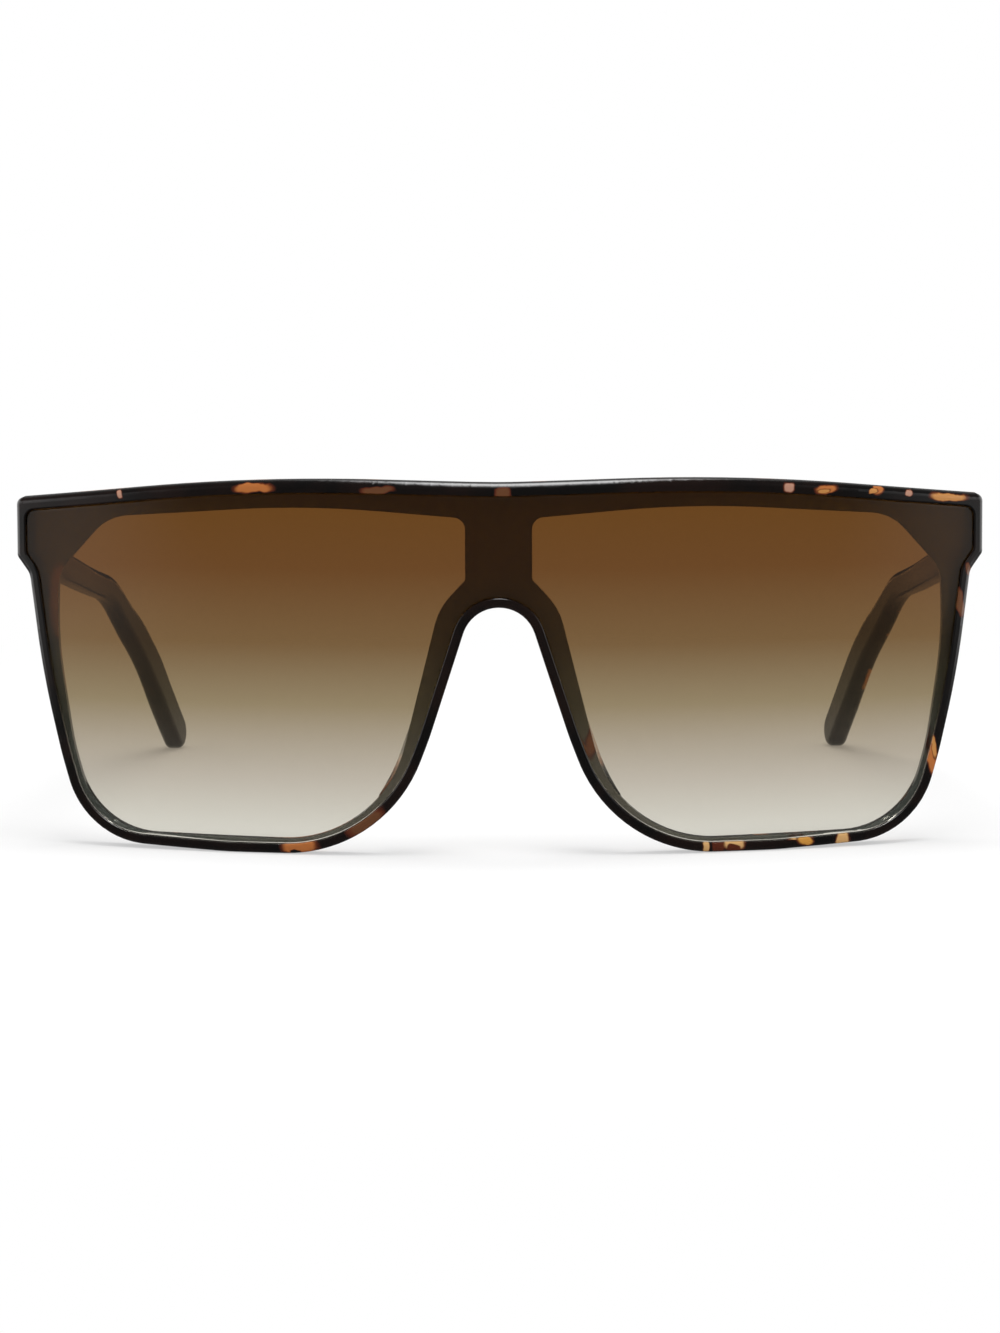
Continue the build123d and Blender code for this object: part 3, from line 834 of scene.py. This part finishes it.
def make_room(look):
    """White background and even light, with other light for gloss to mirror."""
    world = bpy.data.worlds.new("studio_room")
    bpy.context.scene.world = world
    tree = empty_tree(world)
    seen, mirrored = seen_rays(tree)
    light = blend_levels(tree, mirrored, look.room_light, room_gloss(tree, look))
    background = node(tree, "ShaderNodeBackground")
    background.inputs["Color"].default_value = rgba((1.0, 1.0, 1.0))
    feed(tree, blend_levels(tree, seen, light, 1.0), background.inputs["Strength"])
    show(tree, background.outputs[0], "ShaderNodeOutputWorld")


def aimed(place, aim):
    """The matrix of a lamp or a camera that stands at a place and looks at a point."""
    way = Vector(aim) - Vector(place)
    return Matrix.Translation(place) @ way.to_track_quat("-Z", "Y").to_matrix().to_4x4()


def make_lamp(look):
    """Soft box above the object, which gloss does not mirror."""
    lamp = bpy.data.lights.new("top_box", "AREA")
    lamp.shape = "RECTANGLE"
    lamp.size = BOX_WIDTH
    lamp.size_y = BOX_HEIGHT
    lamp.energy = look.top_light
    made = bpy.data.objects.new("top_box", lamp)
    made.matrix_world = aimed(BOX_PLACE, BOX_AIM)
    made.visible_glossy = False
    bpy.context.scene.collection.objects.link(made)


def make_camera(look):
    """Camera a little to the wearer's left of the middle, looking slightly down at the front."""
    data = bpy.data.cameras.new("camera")
    data.sensor_width = SENSOR_WIDTH
    data.lens = FOCAL_LENGTH
    data.clip_start = CLIP_START
    data.clip_end = CLIP_END
    camera = bpy.data.objects.new("camera", data)
    fall = math.radians(CAMERA_FALL)
    back, up = math.cos(fall) * look.eye_distance, math.sin(fall) * look.eye_distance
    eye = Vector(CAMERA_AIM) + Vector((CAMERA_ASIDE, -back, up))
    lean = Matrix.Rotation(math.radians(CAMERA_LEAN), 4, "Z")
    camera.matrix_world = aimed(eye, CAMERA_AIM) @ lean
    bpy.context.scene.collection.objects.link(camera)
    bpy.context.scene.camera = camera


class SUNGLASSES_OT_stage(bpy.types.Operator):
    """Make the floor, the room, the lamp and the camera"""

    bl_idname = "sunglasses.stage"
    bl_label = "Set Stage"

    def execute(self, context):
        look = context.scene.sunglasses_stage
        context.scene.view_settings.view_transform = "Standard"
        make_floor(look)
        make_room(look)
        make_lamp(look)
        make_camera(look)
        return {"FINISHED"}


class SUNGLASSES_PT_panel(bpy.types.Panel):
    """Steps of the sunglasses and their settings"""

    bl_idname = "SUNGLASSES_PT_panel"
    bl_label = "Flat Top Sunglasses"
    bl_space_type = "VIEW_3D"
    bl_region_type = "UI"
    bl_category = "Sunglasses"

    def draw(self, context):
        layout = self.layout
        for title, settings in SETTINGS.items():
            box = layout.box()
            box.label(text=title.title())
            group = getattr(context.scene, f"sunglasses_{title}")
            for key in settings.__annotations__:
                box.prop(group, key)
        for step in STEPS:
            layout.operator(step.bl_idname)


SETTINGS = {
    "tortoise": SunglassesTortoise,
    "lens": SunglassesLens,
    "hinges": SunglassesHinges,
    "stage": SunglassesStage,
}
STEPS = (
    SUNGLASSES_OT_front,
    SUNGLASSES_OT_temples,
    SUNGLASSES_OT_lens,
    SUNGLASSES_OT_hinges,
    SUNGLASSES_OT_stage,
)
CLASSES = (*SETTINGS.values(), *STEPS, SUNGLASSES_PT_panel)


def register():
    """Registers the classes and puts their settings on the scene."""
    for item in CLASSES:
        bpy.utils.register_class(item)
    for title, settings in SETTINGS.items():
        setattr(bpy.types.Scene, f"sunglasses_{title}", PointerProperty(type=settings))


def unregister():
    """Takes the settings and the classes away again."""
    for title in SETTINGS:
        delattr(bpy.types.Scene, f"sunglasses_{title}")
    for item in reversed(CLASSES):
        bpy.utils.unregister_class(item)


def main():
    """Runs every step in order."""
    register()
    bpy.ops.sunglasses.front()
    bpy.ops.sunglasses.temples()
    bpy.ops.sunglasses.lens()
    bpy.ops.sunglasses.hinges()
    bpy.ops.sunglasses.stage()


if __name__ == "__main__":
    main()
